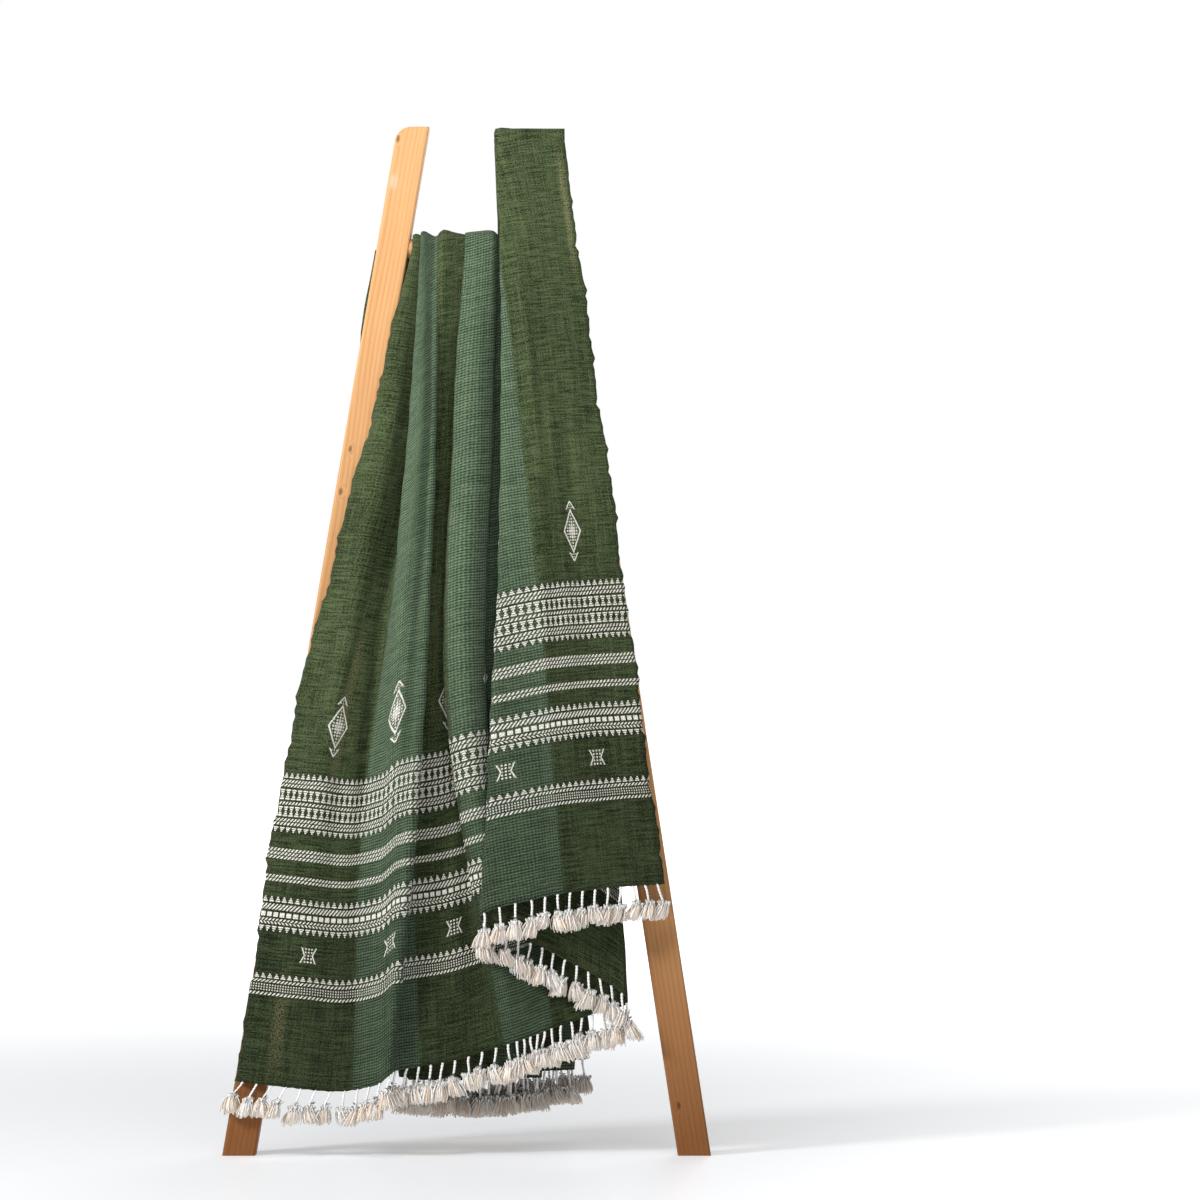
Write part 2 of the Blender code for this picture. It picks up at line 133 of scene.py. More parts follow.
FRONT_ACROSS = columns_of(FRONT_FOLDS, 1)
FRONT_X = columns_of(FRONT_FOLDS, 2)
FRONT_OUT = columns_of(FRONT_FOLDS, 3)
BEND_HEIGHT = columns_of(FRONT_FOLDS, 4)
FRONT_HEM = columns_of(FRONT_FOLDS, 5)
BACK_ACROSS = np.vstack((FRONT_ACROSS[0], columns_of(BACK_FOLDS, 0)))
BACK_X = columns_of(BACK_FOLDS, 1)
OFF_WALL = columns_of(BACK_FOLDS, 2)
BACK_HEM = columns_of(BACK_FOLDS, 3)
print("fold lines", len(FRONT_FOLDS))

# %% [markdown]
# The camera comes first, because it settles what has to be seen. It stands six metres away at the
# height of the ladder's middle and looks straight along Y, as the photograph does, so the
# rails keep their true slant and nothing converges.

# %% Camera
PIXEL = 0.0012315
CAMERA_DISTANCE = 6.0
CAMERA_X = 0.164
CAMERA_HEIGHT = 0.683
SENSOR = 36.0
PHOTO_PIXELS = 1200


def make_camera():
    data = bpy.data.cameras.new("camera")
    data.sensor_width = SENSOR
    data.lens = SENSOR * CAMERA_DISTANCE / (PHOTO_PIXELS * PIXEL)
    data.clip_end = 60.0
    camera = bpy.data.objects.new("camera", data)
    camera.location = Vector((CAMERA_X, -CAMERA_DISTANCE, CAMERA_HEIGHT)) + Vector(PLACE)
    camera.rotation_euler = (math.radians(90.0), 0.0, 0.0)
    bpy.context.collection.objects.link(camera)
    bpy.context.scene.camera = camera
    return camera


camera = make_camera()
print("lens", round(camera.data.lens, 1), "mm")

# %% [markdown]
# Cloth is one sheet, so its mesh is one grid whose columns are places across the flat cloth and
# whose rows run from the front hem, over the rung, to the back hem. A simulation would drape it
# anew and lose the folds of the picture, so the fold tables place every row instead:
# smooth curves run down each fold line, and smooth curves join the fold lines across.

# %% Rows of fold lines


def smooth_between(levels, values, at):
    """A smooth curve through a few values at uneven levels."""
    last = len(levels) - 1
    index = 0
    while index < last - 1 and at > levels[index + 1]:
        index += 1

    def slope(place):
        low = max(place - 1, 0)
        high = min(place + 1, last)
        return (values[high] - values[low]) / (levels[high] - levels[low])

    span = levels[index + 1] - levels[index]
    t = (at - levels[index]) / span
    leaving = slope(index) * span
    arriving = slope(index + 1) * span
    return (
        values[index] * (1.0 - t) ** 2 * (1.0 + 2.0 * t) + leaving * t * (1.0 - t) ** 2
        + values[index + 1] * t ** 2 * (3.0 - 2.0 * t) - arriving * t ** 2 * (1.0 - t))


def plane_y(height):
    return height * math.tan(LEAN)


def front_row(down):
    height = BEND_HEIGHT + (FRONT_HEM - BEND_HEIGHT) * down
    x = smooth_between(FRONT_LEVELS, FRONT_X, down)
    out = smooth_between(FRONT_LEVELS, FRONT_OUT, down)
    points = np.stack((x, plane_y(height) - out, height), axis=1)
    return smooth_between(FRONT_LEVELS, FRONT_ACROSS, down), points


def bend_row(angle):
    """Over the rung the bend is round; over the head of the right rail it is squarer.

    Once past the backs of the rails, the cloth spreads sideways.
    """
    rise = FRONT_OUT[0]
    behind = WALL_Y - plane_y(BEND_HEIGHT) - OFF_WALL[0]
    on_head = (BEND_HEIGHT - TOP_RUNG_HEIGHT) / (RIGHT_HEAD_HEIGHT - TOP_RUNG_HEIGHT)
    power = 2.0 / (2.0 + on_head)
    across = math.copysign(1.0, math.cos(angle)) * abs(math.cos(angle)) ** power
    reach = rise if math.cos(angle) > 0.0 else behind
    up = abs(math.sin(angle)) ** power
    spread = max(angle - SPREAD_START, 0.0) / (math.pi - SPREAD_START)
    x = FRONT_X[0] + (BACK_X[0] - FRONT_X[0]) * spread ** 2 * (3.0 - 2.0 * spread)
    points = np.stack((x, plane_y(BEND_HEIGHT) - reach * across, BEND_HEIGHT + rise * up), axis=1)
    return FRONT_ACROSS[0], points


def back_row(down):
    height = BEND_HEIGHT + (BACK_HEM - BEND_HEIGHT) * down
    x = smooth_between(BACK_LEVELS, BACK_X, down)
    y = WALL_Y - smooth_between(BACK_LEVELS, OFF_WALL, down)
    return smooth_between(BACK_LEVELS, BACK_ACROSS, down), np.stack((x, y, height), axis=1)


FRONT_ROWS = 130
BEND_ROWS = 18
BACK_ROWS = 70
fold_rows = [front_row(1.0 - step / FRONT_ROWS) for step in range(FRONT_ROWS)]
fold_rows += [bend_row(math.pi * step / BEND_ROWS) for step in range(BEND_ROWS + 1)]
fold_rows += [back_row((step + 1) / BACK_ROWS) for step in range(BACK_ROWS)]
print("rows", len(fold_rows))

# %% [markdown]
# The weave must not stretch where fold lines crowd together, so a column of the grid is a place
# across the flat cloth. For each row the fold table says how much cloth lies left of each fold line.
# Between two fold lines the cloth is shared out evenly along the curve that joins them.

# %% Columns across the cloth
COLUMNS = 170
FINE_STEPS = 40
columns_across = np.linspace(0.0, CLOTH_WIDTH, COLUMNS + 1)


def smooth_across(points, at):
    """A smooth curve through the fold lines of one row."""
    last = len(points) - 1
    index = np.minimum(at.astype(int), last - 1)
    t = (at - index)[:, None]
    before = points[np.maximum(index - 1, 0)]
    start = points[index]
    end = points[index + 1]
    after = points[np.minimum(index + 2, last)]
    return 0.5 * (
        2.0 * start + (end - before) * t
        + (2.0 * before - 5.0 * start + 4.0 * end - after) * t ** 2
        + (3.0 * start - before - 3.0 * end + after) * t ** 3)


def spread_columns(across, points):
    """One row of the grid: between two fold lines its columns lie evenly along the curve."""
    folds = len(across) - 1
    fine = np.linspace(0.0, folds, FINE_STEPS * folds + 1)
    curve = smooth_across(points, fine)
    run = np.concatenate(([0.0], np.cumsum(np.linalg.norm(np.diff(curve, axis=0), axis=1))))
    at_folds = run[::FINE_STEPS]
    place = np.interp(run, at_folds, across)
    return smooth_across(points, np.interp(columns_across, place, fine))


cloth = np.array([spread_columns(across, points) for across, points in fold_rows])
print("grid", cloth.shape)

# %% [markdown]
# Next the cloth's own length is measured along every column. It becomes the V of the UV map, in
# metres from the front hem, and near the back hem it is counted from that hem instead, so
# that the woven bands at both ends run parallel to their hems as they do on the loom.

# %% Measure the cloth
BLEND_REACH = 0.6


def cloth_lengths(points):
    steps = np.linalg.norm(np.diff(points, axis=0), axis=2)
    along = np.vstack((np.zeros(points.shape[1]), np.cumsum(steps, axis=0)))
    first_back = FRONT_ROWS + BEND_ROWS
    share = (np.arange(points.shape[0]) - first_back) / (BACK_ROWS * BLEND_REACH)
    share = np.clip(share, 0.0, 1.0)
    share = (share * share * (3.0 - 2.0 * share))[:, None]
    return along + share * (CLOTH_LENGTH - along[-1])


lengths = cloth_lengths(cloth)
acrosses = np.broadcast_to(columns_across, lengths.shape)
print("front and back together", lengths[-1].min().round(3), "m")

# %% [markdown]
# A real throw is never as clean as its main folds. Each row of this table is one soft crease, laid
# from one place on the cloth to another: a ridge stands out and a trough sinks in. They move
# the grid along its normal, by up to nine millimetres where they deepen a main fold.

# %% Soft creases
CREASES = (
    # across from, along from, across to, along to, half width, height, all in mm
    (30, 120, 58, 620, 17, 2.6),
    (92, 40, 80, 480, 15, -2.4),
    (112, 300, 100, 760, 12, 2.0),
    (140, 20, 160, 330, 13, -2.0),
    (205, 350, 214, 820, 9, -1.6),
    (168, 520, 190, 900, 8, 1.3),
    (285, 30, 296, 420, 12, 2.4),
    (322, 10, 306, 260, 10, -2.0),
    (420, 20, 398, 300, 15, 2.6),
    (462, 20, 470, 240, 14, -2.4),
    (520, 20, 540, 330, 16, 2.2),
    (372, 480, 366, 900, 8, -1.2),
    (800, 30, 818, 420, 12, 2.2),
    (862, 10, 850, 330, 15, -2.4),
    (905, 180, 916, 720, 17, 2.2),
    (948, 40, 940, 500, 13, -2.0),
    (978, 300, 968, 860, 10, 1.8),
    (872, 420, 900, 900, 12, -1.6),
    (140, 270, 70, 900, 12, -6.0),
    (76, 850, 74, 1030, 10, -6.0),
    (22, 1010, 64, 300, 14, 8.0),
    (184, 240, 172, 1020, 22, 8.0),
    (248, 200, 246, 980, 9, -7.0),
    (362, 230, 358, 1020, 18, 7.5),
    (300, 300, 304, 800, 8, -2.5),
    (872, 240, 900, 900, 10, 7.0),
    (400, 280, 404, 980, 10, -9.0),
    (186, 10, 232, 480, 9, 6.0),
    (232, 400, 230, 1000, 9, 5.0),
    (70, 1500, 60, 2110, 20, 2.4),
    (180, 1560, 200, 2120, 14, -2.2),
    (330, 1480, 322, 2100, 16, 2.0),
    (500, 1620, 516, 2120, 14, -1.8),
    (690, 1520, 704, 2110, 15, 2.2),
    (900, 1400, 884, 2100, 18, 1.2),
)
WAVES = (
    # periods across and along in mm, slant, height in mm
    (83.0, 410.0, 0.3, 0.55),
    (47.0, 260.0, -0.2, 0.35),
    (131.0, 170.0, 0.5, 0.45),
)
TIGHT_ROWS = 16.0


def crease_heights():
    height = np.zeros_like(lengths)
    for from_u, from_v, to_u, to_v, half_width, rise in CREASES:
        span_v = (to_v - from_v) * MM
        share = (lengths - from_v * MM) / span_v
        middle = (from_u + (to_u - from_u) * share) * MM
        fade = np.clip(4.0 * share * (1.0 - share), 0.0, 1.0)
        distance = (acrosses - middle) / (half_width * MM)
        height += rise * MM * np.exp(-distance ** 2) * fade
    for across, along, slant, rise in WAVES:
        wander = slant * np.sin(2.0 * math.pi * lengths / (along * MM))
        turn = 2.0 * math.pi * (acrosses / (across * MM) + wander)
        height += rise * MM * np.sin(turn)
    return height


def grid_normals(points):
    right = np.gradient(points, axis=1)
    up = np.gradient(points, axis=0)
    normal = np.cross(right, up)
    return normal / np.linalg.norm(normal, axis=2, keepdims=True)


def clear_of_bend():
    """Creases die out near the rung and the head, where the cloth lies tight."""
    row = np.arange(cloth.shape[0])
    gap = np.maximum(FRONT_ROWS - row, row - FRONT_ROWS - BEND_ROWS) / TIGHT_ROWS
    return np.clip(gap, 0.0, 1.0)[:, None]


crease_rise = crease_heights() * clear_of_bend()
print("creases", len(CREASES), "from", crease_rise.min().round(4), "to", crease_rise.max().round(4), "m")

# %% [markdown]
# Handwoven selvedges wander by a few millimetres, because each weft was pulled a little
# differently, and the hem is drawn down where each fringe cord leaves it.

# %% Selvedges and hems
SELVEDGE_REACH = 0.030
SELVEDGE_SWAY = (
    # period in mm, sideways in mm, outward in mm, phase
    (233.0, 1.2, 1.6, 0.4),
    (97.0, 0.8, 0.7, 2.1),
    (41.0, 0.7, 0.25, 4.0),
    (23.0, 0.7, 0.1, 1.0),
    (17.3, 0.9, 0.0, 2.6),
)
STRAND_COUNT = 62
STRAND_PITCH = 0.0161
STRAND_MARGIN = 0.009
HEM_PULL = 0.0011
HEM_REACH = 0.012


def sway_selvedges(points, normals):
    for side in (-1.0, 1.0):
        edge = acrosses if side < 0.0 else CLOTH_WIDTH - acrosses
        near = np.exp(-edge / SELVEDGE_REACH) * clear_of_bend()
        outward = side * np.gradient(points, axis=1)
        outward /= np.linalg.norm(outward, axis=2, keepdims=True)
        for period, sideways, out, phase in SELVEDGE_SWAY:
            turn = np.sin(2.0 * math.pi * lengths / (period * MM) + phase * (1.0 + side * 0.3))
            points += (near * turn * sideways * MM)[:, :, None] * outward
            points += (near * turn * out * MM)[:, :, None] * normals
    return points


def pull_hems(points):
    turn = 2.0 * math.pi * (acrosses - STRAND_MARGIN) / STRAND_PITCH
    for edge in (lengths, CLOTH_LENGTH - lengths):
        drop = HEM_PULL * 0.5 * (1.0 + np.cos(turn)) * np.exp(-edge / HEM_REACH)
        points[:, :, 2] -= drop
    return points


cloth_normals = grid_normals(cloth)
cloth = cloth + crease_rise[:, :, None] * cloth_normals
cloth = pull_hems(sway_selvedges(cloth, cloth_normals))
print("selvedge sway", len(SELVEDGE_SWAY), "waves a side")

# %% [markdown]
# The mesh starts as a flat grid primitive, whose corners are then carried to their draped places.
# A Solidify modifier gives the wool its millimetre and a half, so its edges are real.

# %% The throw's mesh


def mesh_piece(name, shape, body="root"):
    mesh = bpy.data.meshes.new(name)
    shape.to_mesh(mesh)
    shape.free()
    mesh.shade_smooth()
    piece = bpy.data.objects.new(name, mesh)
    bpy.context.collection.objects.link(piece)
    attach(piece, body)
    return piece


def make_throw():
    rows = cloth.shape[0] - 1
    shape = bmesh.new()
    bmesh.ops.create_grid(shape, x_segments=COLUMNS, y_segments=rows, size=1.0)
    shape.verts.index_update()
    places = {}
    for corner in shape.verts:
        column = round((corner.co.x + 1.0) * 0.5 * COLUMNS)
        row = round((corner.co.y + 1.0) * 0.5 * rows)
        places[corner.index] = (row, column)
        corner.co = Vector(cloth[row, column] + PLACE)
    uv_layer = shape.loops.layers.uv.new("cloth")
    for face in shape.faces:
        for loop in face.loops:
            row, column = places[loop.vert.index]
            loop[uv_layer].uv = (acrosses[row, column], lengths[row, column])
    throw = mesh_piece("throw_cloth", shape)
    wall = throw.modifiers.new("thickness", "SOLIDIFY")
    wall.thickness = THICKNESS
    wall.offset = 0.0
    return throw


throw = make_throw()
print("throw quads", len(throw.data.polygons))

# %% [markdown]
# Each fringe strand is a two-ply twisted cord that ends in a bunch of soft yarn. The bunch was tied
# at its middle with a thread and folded over, so short loops stand up round the tie and
# the cut ends hang down as a brush. A handful of such strands is modelled with small tubes,
# and every place on the hem gets a copy of one of them, turned and leaned.

# %% Strand templates
CORD_LENGTH = 0.0245
CORD_RADIUS = 0.00155
CORD_RINGS = 20
CORD_SIDES = 8
CORD_TURNS = 3.2
PLY_DEPTH = 0.26
TASSEL_LENGTH = 0.0215
LOCK_COUNT = 46
LOCK_STEPS = 5
LOCK_RADIUS = 0.00100
TEMPLATE_COUNT = 7
CORD_SHADE = 0.15
CORE_SHADE = 0.75
TIE_SHADE = 1.5
TIE_RADII = (0.0013, 0.0012, 0.0008)
CORD_INSET = 0.001
CORE_SIDES = 7
YARN_SIDES = 3
HEAD_LOOPS = 16
TASSEL_CORE = (
    # level against the end of the cord, radius
    (0.0012, 0.0016), (-0.0006, 0.0040), (-0.0045, 0.0060),
    (-0.0110, 0.0074), (-0.0175, 0.0074), (-0.0190, 0.0020),
)


def draw_tube(shape, shades, centres, radii, sides, shade, twist=0.0, ply=0.0):
    """A closed tube: a disc drawn on from ring to ring by extruding its face."""
    disc = bmesh.ops.create_circle(shape, cap_ends=True, cap_tris=False, segments=sides, radius=radii[0])
    corners = disc["verts"]
    face = next(iter(set(corners[0].link_faces)))
    drawn = list(corners)
    for ring, (centre, radius) in enumerate(zip(centres, radii)):
        if ring > 0:
            face = bmesh.ops.extrude_discrete_faces(shape, faces=[face])["faces"][0]
            drawn += face.verts
        for number, corner in enumerate(face.verts):
            angle = 2.0 * math.pi * number / sides
            lobe = radius * (1.0 + ply * math.cos(2.0 * angle))
            turned = angle + twist * ring
            corner.co = Vector(centre) + Vector((lobe * math.cos(turned), lobe * math.sin(turned), 0.0))
    for corner in drawn:
        corner[shades] = shade
    return face


def brush_lock(draw, number):
    """The middle line of one lock of the brush, from under the tie to its cut end."""
    turn = 2.0 * math.pi * (number * 0.382 + draw.uniform(-0.04, 0.04))
    spread = draw.uniform(0.0070, 0.0132) * math.sqrt((number + 1.0) / LOCK_COUNT)
    length = TASSEL_LENGTH * draw.uniform(0.70, 1.0)
    folded = 0.0052 if number % 2 == 0 else 0.0026
    centres = []
    for step in range(LOCK_STEPS + 1):
        t = step / LOCK_STEPS
        out = 0.0010 + spread * (1.0 - (1.0 - t) ** 2.6)
        over = folded * math.sin(math.pi * min(2.2 * t, 1.0))
        side = turn + 0.5 * draw.uniform(-0.12, 0.12)
        level = -CORD_LENGTH - length * t ** 1.15 + over
        centres.append((out * math.cos(side), out * math.sin(side), level))
    return centres


def head_loop(draw, number):
    """A short loop of yarn that stands up beside the tie."""
    turn = 2.0 * math.pi * (number + draw.uniform(-0.3, 0.3)) / HEAD_LOOPS
    reach = draw.uniform(0.0020, 0.0090)
    rise = 0.0098 - 0.55 * reach + draw.uniform(-0.0012, 0.0012)
    centres = []
    for step in range(LOCK_STEPS + 1):
        t = step / LOCK_STEPS
        out = 0.0010 + reach * math.sin(math.pi * (0.15 + 0.70 * t))
        height = rise * math.sin(math.pi * t) - 0.0045 * t
        centres.append((out * math.cos(turn), out * math.sin(turn), -CORD_LENGTH + height))
    return centres


def tie_thread(draw, number):
    """A scrap of the dark thread that ties the bunch, with its end sticking out."""
    turn = draw.uniform(0.0, 2.0 * math.pi)
    reach = draw.uniform(0.0040, 0.0062)
    rise = draw.uniform(-0.0010, 0.0025)
    knot = -CORD_LENGTH + 0.0068 + 0.0006 * number
    return [
        (0.0016 * math.cos(turn + 1.2), 0.0016 * math.sin(turn + 1.2), knot),
        (0.0027 * math.cos(turn), 0.0027 * math.sin(turn), knot),
        (reach * math.cos(turn - 0.3), reach * math.sin(turn - 0.3), knot + rise),
    ]


def make_template(seed):
    draw = random.Random(seed)
    shape = bmesh.new()
    shades = shape.verts.layers.float.new("shade")
    centres = []
    radii = []
    sway = draw.uniform(-0.0008, 0.0008)
    for ring in range(CORD_RINGS + 1):
        t = ring / CORD_RINGS
        aside = (sway * math.sin(math.pi * t), -sway * math.sin(2.0 * math.pi * t))
        centres.append((*aside, CORD_INSET - CORD_LENGTH * t))
        radii.append(CORD_RADIUS * (1.0 - 0.12 * math.sin(math.pi * t)))
    twist = 2.0 * math.pi * CORD_TURNS / CORD_RINGS
    draw_tube(shape, shades, centres, radii, CORD_SIDES, CORD_SHADE, twist, PLY_DEPTH)

    core_centres = [(0.0, 0.0, -CORD_LENGTH + level) for level, _ in TASSEL_CORE]
    core_radii = [radius for _, radius in TASSEL_CORE]
    draw_tube(shape, shades, core_centres, core_radii, CORE_SIDES, CORE_SHADE)

    for number in range(LOCK_COUNT):
        thick = LOCK_RADIUS * draw.uniform(0.85, 1.2)
        radii = [thick * (1.0 - 0.25 * (step / LOCK_STEPS) ** 3) for step in range(LOCK_STEPS + 1)]
        draw_tube(shape, shades, brush_lock(draw, number), radii, YARN_SIDES, draw.random())
    for number in range(HEAD_LOOPS):
        radii = [LOCK_RADIUS] * (LOCK_STEPS + 1)
        draw_tube(shape, shades, head_loop(draw, number), radii, YARN_SIDES, 0.4 * draw.random())
    for number in range(4 if seed % 3 else 1):
        draw_tube(shape, shades, tie_thread(draw, number), TIE_RADII, YARN_SIDES, TIE_SHADE)
    template = bpy.data.meshes.new(f"strand_{seed}")
    bmesh.ops.recalc_face_normals(shape, faces=shape.faces)
    shape.to_mesh(template)
    shape.free()
    return template


templates = [make_template(seed) for seed in range(TEMPLATE_COUNT)]
print("strand faces", [len(template.polygons) for template in templates])

# %% [markdown]
# The strands don't all hang plumb: the ones at the left corner trail outwards and are held forward
# by the left rail behind them, and the ones at a turn of the hem are pushed aside by their
# neighbours. A short table gives how far the cords lean, and the tassels then hang nearly
# straight down from their ties.

# %% Hang the fringe
FRONT_LEANS = (
    # strand, sideways and forward, as shares of the cord's length
    (0, -0.95, 1.20),
    (2, -0.80, 1.05),
    (3, -0.70, 0.50),
    (5, -0.35, 0.05),
    (12, -0.22, 0.05),
    (18, -0.08, 0.08),
    (30, -0.10, 0.10),
    (35, 0.25, 0.15),
    (40, -0.05, 0.20),
    (46, -0.30, 0.25),
    (49, 0.05, 0.35),
    (55, -0.12, 0.15),
    (61, 0.22, 0.10),
)
BACK_LEANS = (
    (0, -0.20, -0.05),
    (20, 0.05, -0.10),
    (40, -0.05, 0.05),
    (61, 0.15, -0.05),
)


def hem_places(row, inner_row):
    """Points and downward directions along one hem, at every strand."""
    edge = cloth[row]
    down = edge - cloth[inner_row]
    down /= np.linalg.norm(down, axis=1, keepdims=True)
    at = STRAND_MARGIN + STRAND_PITCH * np.arange(STRAND_COUNT)
    roots = np.stack([np.interp(at, columns_across, edge[:, axis]) for axis in range(3)], axis=1)
    downs = np.stack([np.interp(at, columns_across, down[:, axis]) for axis in range(3)], axis=1)
    return roots, downs


def hang_fringe(name, row, inner_row, leans, seed):
    draw = random.Random(seed)
    roots, downs = hem_places(row, inner_row)
    numbers = [lean[0] for lean in leans]
    shape = bmesh.new()
    shape.verts.layers.float.new("shade")
    for strand in range(STRAND_COUNT):
        template = templates[draw.randrange(TEMPLATE_COUNT)]
        sideways = np.interp(strand, numbers, [lean[1] for lean in leans]) + draw.uniform(-0.20, 0.20)
        forward = np.interp(strand, numbers, [lean[2] for lean in leans]) + draw.uniform(-0.12, 0.12)
        lean = Vector((sideways, -forward, -1.0)).normalized() * 0.75 + Vector(downs[strand]) * 0.25
        lean.normalize()
        length = draw.uniform(0.93, 1.07)
        fatness = draw.uniform(0.92, 1.12)
        turn = draw.uniform(0.0, 2.0 * math.pi)
        settle = Vector((draw.uniform(-0.45, 0.45), draw.uniform(-0.35, 0.25), -1.0)).normalized()
        root = Vector(roots[strand] + PLACE)
        known = len(shape.verts)
        shape.from_mesh(template)
        shape.verts.ensure_lookup_table()
        for corner in shape.verts[known:]:
            depth = -corner.co.z * length
            on_cord = min(depth, CORD_LENGTH * length)
            side = Vector((
                corner.co.x * math.cos(turn) - corner.co.y * math.sin(turn),
                corner.co.x * math.sin(turn) + corner.co.y * math.cos(turn), 0.0))
            spread = 1.0 if depth < CORD_LENGTH * 0.9 else fatness
            corner.co = root + lean * on_cord + settle * (depth - on_cord) + side * spread
    return mesh_piece(name, shape)


fringe_front = hang_fringe("fringe_front", 0, 1, FRONT_LEANS, 5)
fringe_back = hang_fringe("fringe_back", -1, -2, BACK_LEANS, 11)
for fringe in (fringe_front, fringe_back):
    print(fringe.name, len(fringe.data.polygons), "faces")

# %% [markdown]
# The finishes are written as sums and products of values, one small class standing for a socket of
# the node tree. An expression such as 1 - mask then adds the node that works it out.

# %% A value in a node tree


class Value:
    """One socket of a finish, with the arithmetic that the patterns use."""

    def __init__(self, finish, socket):
        self.finish = finish
        self.socket = socket

    def math(self, operation, *others):
        values = {0: self}
        values.update({number + 1: other for number, other in enumerate(others)})
        return self.finish.node("ShaderNodeMath", {"operation": operation}, values)

    def __add__(self, other):
        return self.math("ADD", other)

    __radd__ = __add__

    def __mul__(self, other):
        return self.math("MULTIPLY", other)

    __rmul__ = __mul__

    def __sub__(self, other):
        return self.math("SUBTRACT", other)

    def __rsub__(self, other):
        return (self * -1.0) + other

    def __truediv__(self, other):
        return self.math("DIVIDE", other)

    def __pow__(self, other):
        return self.math("POWER", other)

    def __abs__(self):
        return self.math("ABSOLUTE")

    def fract(self):
        return self.math("FRACT")

    def floor(self):
        return self.math("FLOOR")

    def sin(self):
        return self.math("SINE")

    def least(self, other):
        return self.math("MINIMUM", other)

    def most(self, other):
        return self.math("MAXIMUM", other)

    def ramp(self, low, high):
        """0 below low and 1 above high."""
        return self.finish.node(
            "ShaderNodeMapRange", {"clamp": True},
            {"Value": self, "From Min": low, "From Max": high, "To Min": 0.0, "To Max": 1.0})

    def ease(self, low, high):
        """As ramp, with soft ends."""
        return self.finish.node(
            "ShaderNodeMapRange", {"clamp": True, "interpolation_type": "SMOOTHSTEP"},
            {"Value": self, "From Min": low, "From Max": high, "To Min": 0.0, "To Max": 1.0})

    def below(self, level, soft):
        return 1.0 - self.ramp(level - soft, level + soft)

    def between(self, low, high, soft):
        return self.ramp(low - soft, low + soft) * (1.0 - self.ramp(high - soft, high + soft))


class Finish:
    """One material, built node by node."""

    def __init__(self, name):
        self.material = bpy.data.materials.new(name)
        self.material.use_nodes = True
        self.tree = self.material.node_tree
        self.shader = self.tree.nodes["Principled BSDF"]

    def node(self, kind, settings, values, output=0):
        made = self.tree.nodes.new(kind)
        for name, value in settings.items():
            setattr(made, name, value)
        for name, value in values.items():
            self.feed(made.inputs[name], value)
        return Value(self, made.outputs[output])

    def feed(self, socket, value):
        if isinstance(value, Value):
            self.tree.links.new(value.socket, socket)
        else:
            socket.default_value = value

    def mix(self, share, first, second):
        """A colour between two, each a colour of three numbers or a value."""
        colours = [
            colour if isinstance(colour, Value) else (*colour, 1.0) for colour in (first, second)]
        return self.node(
            "ShaderNodeMix", {"data_type": "RGBA"}, {0: share, 6: colours[0], 7: colours[1]}, output=2)

    def shade(self, colour, strength):
        """A colour made darker or lighter by a value."""
        return self.node("ShaderNodeVectorMath", {"operation": "SCALE"}, {0: colour, "Scale": strength})

    def noise(self, vector, scale, detail=2.0, roughness=0.5):
        return self.node(
            "ShaderNodeTexNoise", {"noise_dimensions": "3D"},
            {"Vector": vector, "Scale": scale, "Detail": detail, "Roughness": roughness})

    def vector(self, x, y, z):
        return self.node("ShaderNodeCombineXYZ", {}, {0: x, 1: y, 2: z})

    def bump(self, height, distance, strength=1.0):
        return self.node(
            "ShaderNodeBump", {}, {"Height": height, "Distance": distance, "Strength": strength})

    def finish(self, colour, roughness, normal):
        self.feed(self.shader.inputs["Base Color"], colour)
        self.feed(self.shader.inputs["Roughness"], roughness)
        self.feed(self.shader.inputs["Normal"], normal)
        return self.material


def total(values):
    """The sum of some values of one finish."""
    so_far = values[0]
    for value in values[1:]:
        so_far = so_far + value
    return so_far


print("value operators ready")

# %% [markdown]
# The throw is woven in broad columns: olive plain weave alternates with blue-green cloth of a
# coarser, ribbed weave. White yarn is laid in by hand near both ends, as five bands and two
# rows of motifs. U and V of the cloth's map are metres across and along it, so every pattern
# keeps its woven size however the cloth is folded.

# %% Woven columns
OLIVE_DARK = (0.009, 0.015, 0.004)
OLIVE_LIGHT = (0.085, 0.114, 0.048)
OLIVE_SLUB = (0.230, 0.215, 0.105)
BLUE_DARK = (0.014, 0.030, 0.018)
BLUE_LIGHT = (0.182, 0.252, 0.148)
BLUE_GROUND = (0.055, 0.088, 0.050)
YARN_SHADE = (0.46, 0.44, 0.37)
WHITE_YARN = (0.88, 0.86, 0.79)
FIRST_COLUMN = 0.1293
COLUMN_WIDTH = 0.1059
UNDER_TURN = (0.54, 0.665)
UNDER_TURN_TOP = 0.30
RIB_PITCH = 0.0036


